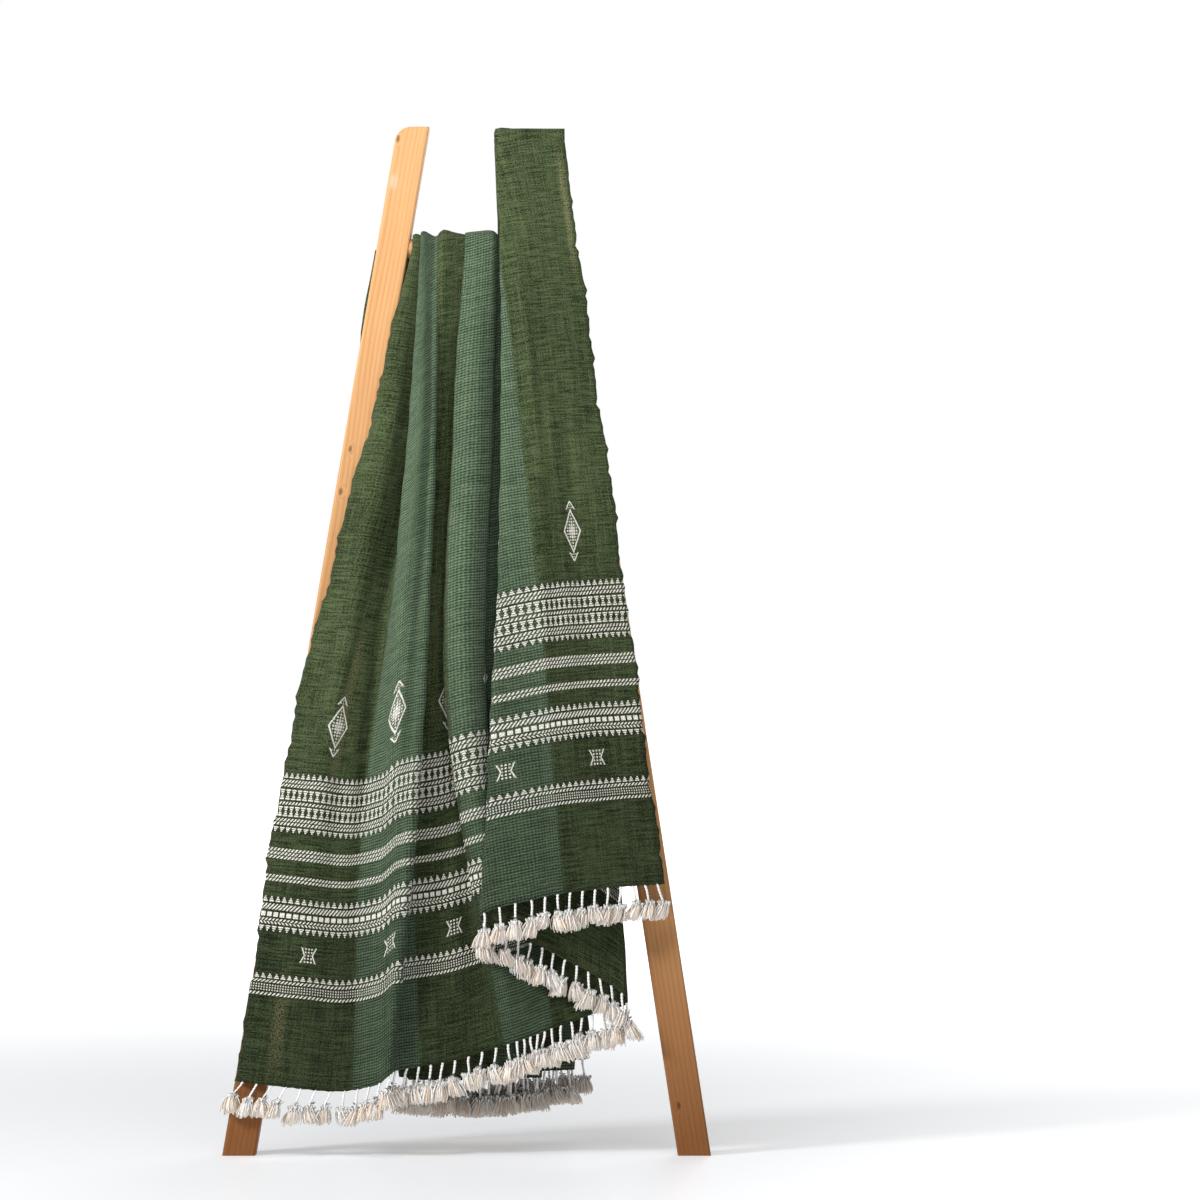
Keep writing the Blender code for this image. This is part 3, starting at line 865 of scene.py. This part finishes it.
class Weave(Finish):
    """The throw's finish, with its two ways across the cloth at hand."""

    def __init__(self, name):
        super().__init__(name)
        place = self.node("ShaderNodeUVMap", {"uv_map": "cloth"}, {})
        self.u = self.node("ShaderNodeSeparateXYZ", {}, {0: place})
        self.v = Value(self, self.u.socket.node.outputs[1])
        wander = self.noise(self.vector(self.u * 14.0, self.v * 14.0, 0.0), 1.0)
        self.across = self.u + (wander - 0.5) * 0.0035
        drift = self.noise(self.vector(self.u * 9.0 + 5.0, self.v * 9.0, 3.0), 1.0)
        along = self.v + (drift - 0.5) * 0.0040
        self.along = along.least(CLOTH_LENGTH - along)

    def column_mask(self):
        """1 on the blue-green columns and 0 on the olive ones.

        Past the outer columns both sides are olive, and so is the end of the layer that turns under.
        """
        place = (self.u - FIRST_COLUMN) / COLUMN_WIDTH
        inside = place.most(-0.9).least(7.9)
        under_turn = self.u.between(*UNDER_TURN, 0.004) * self.v.below(UNDER_TURN_TOP, 0.08)
        return (inside * math.pi).sin().ramp(-0.07, 0.07) * (1.0 - under_turn)


throw_finish = Weave("green_wool")
columns = throw_finish.column_mask()
print("columns", round((CLOTH_WIDTH - 2 * FIRST_COLUMN) / COLUMN_WIDTH, 2))

# %% [markdown]
# The white bands are rows of five shapes: slanted dashes of twined yarn, dots, stepped teeth, stepped
# hourglasses and square blocks. Their heights above the hem are a table, read off the photograph as
# real sizes, and each kind of row is a small expression in U and V.

# %% Woven bands
TOOTH_PITCH = 0.0083
DASH_PITCH = 0.0047
DASH_SLANT = 0.80
DOT_PITCH = 0.0032
BAND_ROWS = (
    # kind, lower edge and upper edge above the hem in mm, steps
    ("dashes", 108.4, 113.1, 1),
    ("dots", 113.9, 123.3, 3),
    ("dashes", 124.2, 128.9, 1),
    ("teeth up", 130.0, 136.2, 3),
    ("teeth down", 188.0, 195.3, 3),
    ("back dashes", 196.8, 200.8, 1),
    ("dashes", 200.8, 204.8, 1),
    ("blocks", 206.5, 212.3, 1),
    ("dashes", 214.2, 223.5, 1),
    ("teeth up", 224.6, 231.8, 3),
    ("dashes", 250.0, 259.4, 2),
    ("dashes", 278.4, 292.6, 3),
    ("teeth down", 312.2, 318.6, 3),
    ("dashes", 320.2, 329.8, 2),
    ("hourglass", 331.5, 344.3, 5),
    ("dashes", 345.6, 350.2, 1),
    ("hourglass", 352.0, 365.5, 5),
    ("dashes", 367.5, 377.8, 2),
    ("teeth up", 379.2, 386.0, 3),
)


def band_patterns(weave):
    """The patterns that the rows of one kind share."""
    tooth = abs((weave.across / TOOTH_PITCH).fract() - 0.5)
    right = abs(((weave.across - weave.along * DASH_SLANT) / DASH_PITCH).fract() - 0.5)
    left = abs(((weave.across + weave.along * DASH_SLANT) / DASH_PITCH).fract() - 0.5)
    dot = abs((weave.across / DOT_PITCH).fract() - 0.5)
    return {
        "tooth": tooth, "dash": right.below(0.26, 0.06), "back dash": left.below(0.26, 0.06),
        "block": tooth.below(0.36, 0.04), "dot": dot.below(0.24, 0.10)}


def band_row(weave, patterns, kind, low, high, steps):
    share = (weave.along - low * MM) * (steps / ((high - low) * MM))
    inside = weave.along.between(low * MM, high * MM, 0.0003)
    row_gap = abs(share.fract() - 0.5).below(0.38, 0.06)
    if kind == "dashes":
        return inside * row_gap * patterns["dash"]
    if kind == "back dashes":
        return inside * row_gap * patterns["back dash"]
    if kind == "dots":
        return inside * abs(share.fract() - 0.5).below(0.28, 0.10) * patterns["dot"]
    if kind == "blocks":
        return inside * patterns["block"]
    step = share.floor()
    if kind == "hourglass":
        half_width = abs(step - 2.0) * 0.13 + 0.13
    elif kind == "teeth up":
        half_width = step * -0.125 + 0.37
    else:
        half_width = step * 0.125 + 0.12
    return inside * row_gap * (half_width - patterns["tooth"]).ramp(-0.03, 0.03)


def all_bands(weave):
    patterns = band_patterns(weave)
    return total([band_row(weave, patterns, *row) for row in BAND_ROWS])


bands = all_bands(throw_finish)
print("band rows", len(BAND_ROWS))

# %% [markdown]
# Two rows of traditional motifs go with the bands, one motif to each column: an hourglass filled
# with dots stands between two bands, and a long diamond with an arrow above and below it stands over
# the last one. Both are symmetrical, so distances from the motif's middle draw them.

# %% Woven motifs
MOTIF_SPREAD = 0.1059
OUTER_MOTIF = 0.4335
INNER_REACH = 0.3756
HOURGLASS_HEIGHT = 0.1626
HOURGLASS_HALF = 0.0098
DIAMOND_HEIGHT = 0.4495
DIAMOND_HALF_WIDTH = 0.0135
DIAMOND_HALF_HEIGHT = 0.0265
ARROW_TIP = 0.0385
ARROW_FOOT = 0.0275
STROKE = 0.00085
STROKE_SOFT = 0.0003
HOURGLASS_WAIST = 0.0050
HOURGLASS_FLARE = 0.46
HOURGLASS_DOTS = 0.0040
DIAMOND_DOTS = 0.0039
ARROW_FLARE = 0.62
ARROW_DOTS = 0.0033


def motif_side(weave):
    """Distance sideways from the nearest motif's middle."""
    from_middle = abs(weave.across - 0.5)
    inner = abs((from_middle / MOTIF_SPREAD + 0.5).fract() - 0.5) * MOTIF_SPREAD
    outer = abs(from_middle - OUTER_MOTIF)
    on_outer = from_middle.ramp(INNER_REACH, INNER_REACH + 0.0001)
    return inner + (outer - inner) * on_outer


def dotted(side, rise, pitch, size):
    across = abs((side / pitch + 0.5).fract() - 0.5)
    up = abs((rise / pitch + 0.5).fract() - 0.5)
    return (size - across.most(up)).ramp(-0.05, 0.05)


def hourglass(weave, side):
    rise = abs(weave.along - HOURGLASS_HEIGHT)
    edge = rise * HOURGLASS_FLARE + HOURGLASS_WAIST
    stroke = abs(side - edge).below(STROKE, STROKE_SOFT)
    dots = dotted(side, rise, HOURGLASS_DOTS, 0.27) * (edge - side).ramp(0.0012, 0.0018)
    return (stroke + dots) * rise.below(HOURGLASS_HALF, STROKE_SOFT)


def diamond(weave, side):
    rise = abs(weave.along - DIAMOND_HEIGHT)
    reach = side / DIAMOND_HALF_WIDTH + rise / DIAMOND_HALF_HEIGHT
    outline = abs(reach - 1.0).below(0.085, 0.03)
    size = 0.46 - reach.ramp(0.25, 0.75) * 0.20
    dots = dotted(side, rise, DIAMOND_DOTS, size) * reach.below(0.84, 0.03)
    arrow_side = (ARROW_TIP - rise) * ARROW_FLARE
    arrow = abs(side - arrow_side).below(STROKE * 1.2, STROKE_SOFT)
    arrow_dots = dotted(side, rise, ARROW_DOTS, 0.24) * (arrow_side - side).ramp(0.0008, 0.0014)
    return outline + dots + (arrow + arrow_dots) * rise.between(ARROW_FOOT, ARROW_TIP, STROKE_SOFT)


side = motif_side(throw_finish)
white = (bands + hourglass(throw_finish, side) + diamond(throw_finish, side)).least(1.0)
print("motif columns", 2 * int(INNER_REACH / MOTIF_SPREAD) + 3)

# %% [markdown]
# Under the white yarn lies the ground cloth. Handspun wool is uneven, so warp streaks, weft
# bars, specks and slubs all vary its green, and the ribs of the blue-green columns
# show as a small raised grid. The same patterns drive the bump, because colour and relief
# come from the same threads.

# %% Ground weave and the throw's finish
PALE_STREAKS = (
    # across and half width, then from and to along the cloth, in metres
    (0.989, 0.008, 0.80, 0.93),
    (0.072, 0.010, 0.38, 0.56),
    (0.040, 0.012, 0.03, 0.12),
)
WIDE_BANDS = (
    # lower and upper edge above the hem; the ground between the white yarns looks darker there
    (0.1075, 0.137),
    (0.187, 0.232),
    (0.311, 0.387),
)
BAND_SHADOW = 0.22
# How bright the cloth is left at its hems: painted shade, as less light reaches the cloth low down
HEM_PAINTED_SHADE = 0.58


def pale_streaks(weave):
    """Warp threads where the spinner ran into paler fleece."""
    return total([
        (1.0 - abs(weave.u - middle).ramp(0.0, half_width)) * weave.v.between(low, high, 0.03)
        for middle, half_width, low, high in PALE_STREAKS])


def ground(weave):
    """Colour and relief of the cloth without the white yarn."""
    warp = weave.noise(weave.vector(weave.u * 520.0, weave.v * 26.0, 0.0), 1.0, detail=1.0)
    weft = weave.noise(weave.vector(weave.u * 30.0, weave.v * 480.0, 4.0), 1.0, detail=1.0)
    speck = weave.noise(weave.vector(weave.u * 560.0, weave.v * 560.0, 8.0), 1.0, detail=1.0)
    cloud = weave.noise(weave.vector(weave.u * 9.0, weave.v * 4.0, 2.0), 1.0, detail=3.0)
    streak = weave.noise(weave.vector(weave.u * 120.0, weave.v * 2.5, 6.0), 1.0, detail=2.0)
    tone = warp * 0.38 + weft * 0.72 + speck * 0.95 + cloud * 0.35 + streak * 0.20 - 0.80
    olive = weave.mix(tone.ramp(0.30, 0.72), OLIVE_DARK, OLIVE_LIGHT)
    slub = streak.ramp(0.62, 0.84) * speck.ramp(0.50, 0.66) + pale_streaks(weave) * speck.ramp(0.38, 0.60)
    olive = weave.mix(slub * 0.75, olive, OLIVE_SLUB)

    uneven = (cloud - 0.5) * 1.6
    weft_rib = ((weave.v / RIB_PITCH + uneven + (weft - 0.5) * 0.7) * (2.0 * math.pi)).sin()
    warp_rib = ((weave.u / RIB_PITCH + (warp - 0.5) * 0.6) * (2.0 * math.pi)).sin()
    lit_thread = (weft_rib * 0.30 + warp_rib * 0.14 + speck * 1.25 + streak * 0.25 - 0.27).ramp(0.20, 0.95)
    blue = weave.mix(lit_thread, BLUE_DARK, BLUE_LIGHT)
    blue = weave.mix(0.22, blue, BLUE_GROUND)
    colour = weave.mix(columns, olive, blue)
    ribs = weft_rib * 0.00016 + warp_rib * 0.00008
    relief = ribs * columns + (speck * 0.00050 + warp * 0.00018 + weft * 0.00018)
    return colour, relief, speck


def finish_throw(weave):
    colour, relief, speck = ground(weave)
    in_band = total([weave.along.between(low, high, 0.001) for low, high in WIDE_BANDS])
    # Painted shade: the cloth's colour is made darker towards both hems.
    from_hem = weave.v.least(CLOTH_LENGTH - weave.v)
    tone = from_hem.ease(0.10, 0.62) * (1.0 - HEM_PAINTED_SHADE) + HEM_PAINTED_SHADE
    colour = weave.shade(colour, (1.0 - in_band * BAND_SHADOW) * tone)
    yarn = weave.mix(speck.ramp(0.35, 0.70), YARN_SHADE, WHITE_YARN)
    colour = weave.mix(white, colour, yarn)
    relief = relief + white * 0.00055
    normal = weave.bump(relief, 1.0, strength=0.9)
    weave.shader.inputs["Sheen Weight"].default_value = 0.05
    weave.shader.inputs["Sheen Roughness"].default_value = 0.6
    weave.shader.inputs["Specular IOR Level"].default_value = 0.08
    return weave.finish(colour, 0.93, normal)


throw.data.materials.append(finish_throw(throw_finish))
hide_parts("throw")
print("throw finish nodes", len(throw_finish.tree.nodes))

# %% [markdown]
# The fringe is undyed wool. Each lock carries a shade number in its mesh, so the brush mixes white
# and cream ends, its core lies between the two, and the scraps of tying thread are dark green.

# %% Fringe finish
FRINGE_WHITE = (0.95, 0.93, 0.90)
CREAM_YARN = (0.80, 0.61, 0.43)
TIE_GREEN = (0.020, 0.042, 0.020)
FRINGE_NODES = {
    "fringe_front": ("fringe_front_left", "fringe_front_fold", "fringe_front_right"),
    "fringe_back": tuple(f"fringe_back_{number}" for number in range(1, 8)),
}


def fringe_material():
    finish = Finish("white_wool")
    shade = finish.node("ShaderNodeAttribute", {"attribute_name": "shade"}, {}, output=2)
    place = finish.node("ShaderNodeTexCoord", {}, {}, output=3)
    fluff = finish.noise(place, 1400.0, detail=2.0)
    cream = (shade + (fluff - 0.5) * 0.5).ramp(0.45, 1.0) * 0.9
    colour = finish.mix(cream, FRINGE_WHITE, CREAM_YARN)
    colour = finish.mix(shade.ramp(1.2, 1.3), colour, TIE_GREEN)
    normal = finish.bump(fluff, 0.0006, strength=0.7)
    finish.shader.inputs["Sheen Weight"].default_value = 0.2
    finish.shader.inputs["Specular IOR Level"].default_value = 0.2
    return finish.finish(colour, 0.95, normal)


wool_white = fringe_material()
for fringe in (fringe_front, fringe_back):
    fringe.data.materials.append(wool_white)
    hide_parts(*FRINGE_NODES[fringe.name])
print("fringe nodes replaced", sum(len(nodes) for nodes in FRINGE_NODES.values()))

# %% [markdown]
# The ladder keeps its solid boards and rungs and gets only a finish. Pine shows growth rings drawn
# out along the board, so each board's finish works in three directions of its own: along
# it, across its face and through its thickness. The rings are distances from the heart of
# the tree, which lies outside the board.

# %% Pine
PINE_LIGHT = (0.72, 0.405, 0.180)
PINE_RING = (0.54, 0.250, 0.090)
FOOT_DIRT_AND_SHADE = (0.34, 0.24, 0.16)
KNOT_BROWN = (0.115, 0.045, 0.018)
WORN_GREY = (0.62, 0.54, 0.44)
RING_PITCH = 0.0037
BOW_SIDE = 0.026
BOW_DEEP = 0.018
KNOT_SWIRL = 1.6
KNOT_STRENGTH = 0.70
WORN_STRENGTH = 0.7
RING_SHARE = 0.48
RUNG_COUNT = 4
FLOOR_Z = PLACE[2]


def pine(name, origin, along, heart, knots=(), worn=(), dirt_and_shade_height=1.05):
    """Pine for one board; knots are along, across, half length and half width in metres."""
    finish = Finish(name)
    along = Vector(along).normalized()
    through = Vector((1.0, 0.0, 0.0)).cross(along) if abs(along.x) < 0.9 else Vector((0.0, 1.0, 0.0))
    through.normalize()
    across = along.cross(through).normalized()
    place = finish.node("ShaderNodeTexCoord", {}, {}, output=3)
    from_origin = finish.node("ShaderNodeVectorMath", {"operation": "SUBTRACT"}, {0: place, 1: origin})

    def way(direction):
        return finish.node(
            "ShaderNodeVectorMath", {"operation": "DOT_PRODUCT"}, {0: from_origin, 1: direction}, output=1)

    length = way(along)
    side = way(across)
    deep = way(through)
    bow = finish.noise(finish.vector(length * 1.4, side * 4.0, deep * 4.0), 1.0, detail=2.0)

    def reach_from(at, off, half_length, half_width):
        """0 in the middle of an oval mark on the board's face and 1 on its edge."""
        return ((length - at) / half_length) ** 2.0 + ((side - off) / half_width) ** 2.0

    heart_side = side + (bow - 0.5) * BOW_SIDE + heart[0]
    heart_deep = deep + (bow - 0.5) * BOW_DEEP + heart[1]
    rings = (heart_side * heart_side + heart_deep * heart_deep).math("SQRT") / RING_PITCH
    knot_reaches = [reach_from(*knot) for knot in knots]
    if knots:
        turns = [1.0 - reach.ramp(0.0, 9.0) for reach in knot_reaches]
        rings = rings + total([turn * turn for turn in turns]) * KNOT_SWIRL
    ring = rings.fract()
    late = ring.ramp(0.30, 0.92) * (1.0 - ring.ramp(0.92, 1.0))
    fibre = finish.noise(finish.vector(length * 14.0, side * 900.0, deep * 900.0), 1.0, detail=2.0)
    patch = finish.noise(finish.vector(length * 3.0, side * 20.0, deep * 20.0), 1.0, detail=3.0)
    grain = late * RING_SHARE + (fibre - 0.5) * 0.7 + (patch - 0.5) * 1.2 + 0.12
    colour = finish.mix(grain.ramp(0.0, 1.0), PINE_LIGHT, PINE_RING)
    if knots:
        knot_mask = total([1.0 - reach.ramp(0.3, 1.5) for reach in knot_reaches])
        colour = finish.mix(knot_mask.least(1.0) * KNOT_STRENGTH, colour, KNOT_BROWN)
    for mark in worn:
        greyed = (1.0 - reach_from(*mark).ramp(0.2, 1.2)) * fibre.ramp(0.3, 0.6) * WORN_STRENGTH
        colour = finish.mix(greyed, colour, WORN_GREY)
    # Partly dirt and partly painted shade: the board is darkened towards the floor.
    height = finish.node("ShaderNodeSeparateXYZ", {}, {0: place}, output=2) - FLOOR_Z
    low = 1.0 - (height + (patch - 0.5) * 0.12).ramp(0.02, dirt_and_shade_height)
    dirt_and_shade_tint = finish.mix(low, (1.0, 1.0, 1.0), FOOT_DIRT_AND_SHADE)
    colour = finish.node("ShaderNodeVectorMath", {"operation": "MULTIPLY"}, {0: colour, 1: dirt_and_shade_tint})
    normal = finish.bump(fibre * 0.7 + late * 0.3, 0.0004, strength=0.5)
    finish.shader.inputs["Specular IOR Level"].default_value = 0.20
    return finish.finish(colour, 0.52 + (fibre - 0.5) * 0.2, normal)


def photo_height(row):
    """Height above the floor of a row of the photograph, on the ladder's leaning plane."""
    level = CAMERA_HEIGHT + (PHOTO_PIXELS / 2 - row) * PIXEL
    return level + (level - CAMERA_HEIGHT) * plane_y(level) / CAMERA_DISTANCE


def dress_rail(node, foot_x, head_x, head_height, heart, knots, worn, dirt_and_shade_height):
    foot = Vector((foot_x, 0.0, 0.0)) + Vector(PLACE)
    head = Vector((head_x, plane_y(head_height), head_height)) + Vector(PLACE)
    run = (head - foot).length

    def placed(marks):
        return [(photo_height(row) / head_height * run, *rest) for row, *rest in marks]

    material = pine(
        f"pine_{node}", foot, head - foot, heart, placed(knots), placed(worn), dirt_and_shade_height)
    put_on(node, material)


def put_on(node, material):
    piece = bpy.data.objects[node]
    piece.data.materials.clear()
    piece.data.materials.append(material)


LEFT_KNOTS = (
    # photo row, across the face, half length and half width in metres
    (143, -0.0165, 0.0055, 0.0022),
    (452, -0.010, 0.0045, 0.0022),
    (495, -0.013, 0.0050, 0.0026),
    (1010, 0.008, 0.0060, 0.0035),
)
LEFT_WORN = ((185, -0.012, 0.012, 0.006),)
RIGHT_KNOTS = ((1105, -0.010, 0.0045, 0.0024),)
# The heart of the tree, across and through the board, and how high the darkening towards the foot reaches.
# It is partly dirt and partly painted shade; on the right rail it stops lower, so that rail is painted
# lighter.
LEFT_HEART = (0.060, 0.052)
RIGHT_HEART = (-0.055, 0.060)
LEFT_DIRT_AND_SHADE_HEIGHT = 1.05
RIGHT_DIRT_AND_SHADE_HEIGHT = 0.60
dress_rail(
    "rail_left", -FOOT_SPREAD, LEFT_HEAD_X, LEFT_HEAD_HEIGHT, LEFT_HEART, LEFT_KNOTS, LEFT_WORN, LEFT_DIRT_AND_SHADE_HEIGHT)
dress_rail(
    "rail_right", FOOT_SPREAD, RIGHT_HEAD_X, RIGHT_HEAD_HEIGHT, RIGHT_HEART, RIGHT_KNOTS, (), RIGHT_DIRT_AND_SHADE_HEIGHT)
for rung in range(1, RUNG_COUNT + 1):
    low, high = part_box(f"rung_{rung}")
    middle = (Vector(low) + Vector(high)) * 0.5
    put_on(f"rung_{rung}", pine(f"pine_rung_{rung}", middle, (1.0, 0.0, 0.0), (0.004 * rung, 0.018)))
print("boards and rungs dressed", 2 + RUNG_COUNT)

# %% [markdown]
# The stage is a pale floor with soft light, as in a product studio: a bright even surround, a small
# strong lamp on the left that shapes the folds, a wide weak one on the right, one overhead and one
# behind the ladder.

# %% Floor and light
FLOOR_SIZE = 40.0
FLOOR_GLOW = 0.62
FLOOR_NEAR = 0.50
FLOOR_FAR = 2.0
FLOOR_GREY = (0.68, 0.695, 0.72)
SURROUND_LIGHT = 0.22
LAMP_TARGET = (0.05, 0.05, 0.95)
LAMPS = (
    # name, place in floor coordinates, size, watts
    ("key", (-2.9, -1.7, 2.2), 0.9, 118.0),
    ("fill", (2.2, -4.4, 1.8), 2.6, 24.0),
    ("top", (-0.2, -0.9, 3.2), 2.0, 30.0),
    ("back", (1.4, 3.6, 2.2), 2.4, 48.0),
)


def make_floor():
    shape = bmesh.new()
    bmesh.ops.create_grid(shape, x_segments=1, y_segments=1, size=0.5 * FLOOR_SIZE)
    mesh = bpy.data.meshes.new("floor")
    shape.to_mesh(mesh)
    shape.free()
    finish = Finish("floor")
    finish.shader.inputs["Base Color"].default_value = (*FLOOR_GREY, 1.0)
    finish.shader.inputs["Roughness"].default_value = 0.35
    finish.shader.inputs["Specular IOR Level"].default_value = 0.25
    place = finish.node("ShaderNodeTexCoord", {}, {}, output=3)
    far = finish.node("ShaderNodeVectorMath", {"operation": "LENGTH"}, {0: place}, output=1).ease(0.4, 4.0)
    glow = finish.mix(far, (FLOOR_NEAR,) * 3, (FLOOR_FAR,) * 3)
    finish.feed(finish.shader.inputs["Emission Color"], glow)
    finish.shader.inputs["Emission Strength"].default_value = FLOOR_GLOW
    mesh.materials.append(finish.material)
    floor = bpy.data.objects.new("floor", mesh)
    floor.location = (0.0, 0.0, FLOOR_Z)
    bpy.context.collection.objects.link(floor)


def make_lamp(name, place, size, watts):
    data = bpy.data.lights.new(name, "AREA")
    data.shape = "DISK"
    data.size = size
    data.energy = watts
    lamp = bpy.data.objects.new(name, data)
    lamp.location = Vector(place) + Vector(PLACE)
    target = Vector(LAMP_TARGET) + Vector(PLACE)
    lamp.rotation_euler = (target - lamp.location).to_track_quat("-Z", "Y").to_euler()
    bpy.context.collection.objects.link(lamp)


make_floor()
for lamp in LAMPS:
    make_lamp(*lamp)


def make_surround():
    """White to look at, but a dimmer source of light, so that the lamps shape the folds."""
    world = bpy.data.worlds.new("studio")
    world.use_nodes = True
    tree = world.node_tree
    background = tree.nodes["Background"]
    background.inputs["Color"].default_value = (1.0, 1.0, 1.0, 1.0)
    path = tree.nodes.new("ShaderNodeLightPath")
    strength = tree.nodes.new("ShaderNodeMapRange")
    strength.inputs["To Min"].default_value = SURROUND_LIGHT
    strength.inputs["To Max"].default_value = 1.0
    tree.links.new(path.outputs["Is Camera Ray"], strength.inputs["Value"])
    tree.links.new(strength.outputs["Result"], background.inputs["Strength"])
    bpy.context.scene.world = world
    bpy.context.scene.view_settings.view_transform = "Standard"


make_surround()
print("lamps", len(LAMPS))
